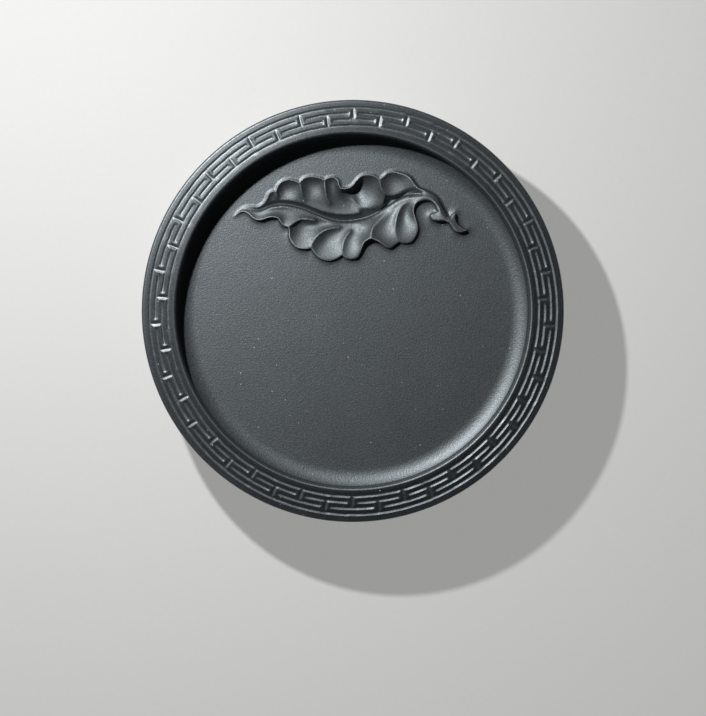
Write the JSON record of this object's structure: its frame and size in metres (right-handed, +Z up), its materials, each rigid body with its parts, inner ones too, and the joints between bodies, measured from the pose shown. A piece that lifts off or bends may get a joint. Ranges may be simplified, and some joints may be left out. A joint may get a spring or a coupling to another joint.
{
  "type": "ink stone",
  "caption": "Round ink stone carved from one block: a flat pool with a coved wall, a meander fret cut into the rim and a curled leaf in relief.",
  "frame": {"origin": "centre of the round foot, on the plane that the stone rests on", "axes": "+Z up out of the pool, +Y from the stone's centre towards the carved leaf, +X from the leaf's tip towards its stem"},
  "size_m": [0.089, 0.089, 0.02],
  "materials": {
    "honed_stone": "honed dark slate, fine grained, with a soft sheen on the rim's lands"
  },
  "bodies": {
    "root": {"ink_stone": "honed_stone"}
  },
  "joints": []
}
